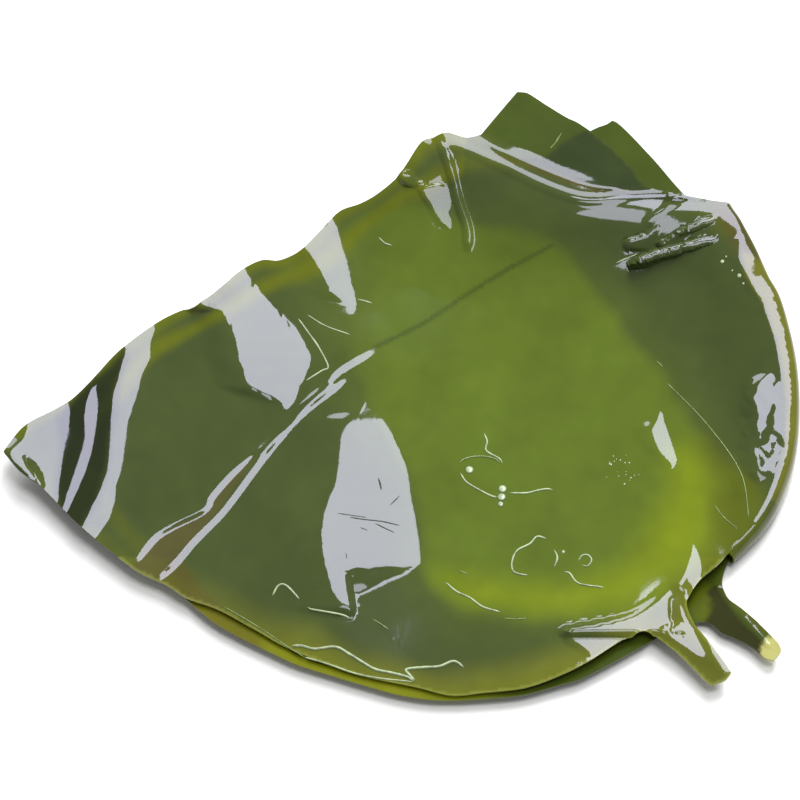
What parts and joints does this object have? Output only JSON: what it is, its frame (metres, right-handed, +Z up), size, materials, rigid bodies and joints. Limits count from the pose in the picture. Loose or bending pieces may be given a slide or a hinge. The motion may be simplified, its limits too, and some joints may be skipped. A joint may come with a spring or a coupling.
{
  "type": "salted kelp root",
  "caption": "Wet leathery base of a kelp blade, folded double into a shallow dish with a waved rim, a far ridge, corner flaps and a split flat stalk.",
  "frame": {"origin": "centre of the bounding box, on the surface that the kelp lies on", "axes": "+X to the viewer's right along the blade's longest side, +Y away from the viewer towards the raised ridge, +Z up"},
  "size_m": [0.302, 0.2616, 0.0269],
  "materials": {
    "kelp_flesh": "gloss"
  },
  "bodies": {
    "root": {"kelp_root": "kelp_flesh"}
  },
  "joints": []
}
